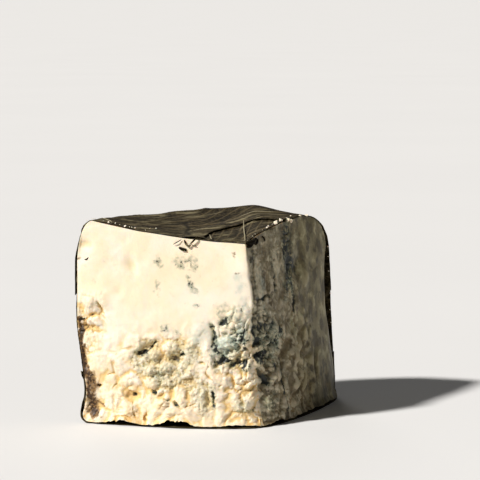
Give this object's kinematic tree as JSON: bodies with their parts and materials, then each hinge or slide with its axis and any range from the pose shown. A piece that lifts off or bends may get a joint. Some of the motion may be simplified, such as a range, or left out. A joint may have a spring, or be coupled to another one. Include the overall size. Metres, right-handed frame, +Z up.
{
  "type": "cheese wedge",
  "caption": "Upright wedge of blue-veined cheese, cut from a small round wheel, with dark dried leaves wrapped over its top, back and base.",
  "frame": {"origin": "centre of the bounding box, at the level of the underside that the wedge stands on", "axes": "+Z up, +Y from the nose edge, where the two cut faces meet, towards the middle of the round back, +X towards the end of the right cut face"},
  "size_m": [0.1444, 0.092, 0.1011],
  "materials": {
    "paste": "soft, slightly moist cream paste with blue-grey mould",
    "leaf": "dried dark brown leaf with a dull sheen and raised ribs"
  },
  "bodies": {
    "root": {"paste": "paste", "leaf_top": "leaf", "leaf_top_front": "leaf", "leaf_side_left": "leaf", "leaf_side_right": "leaf", "leaf_base": "leaf"}
  },
  "joints": []
}
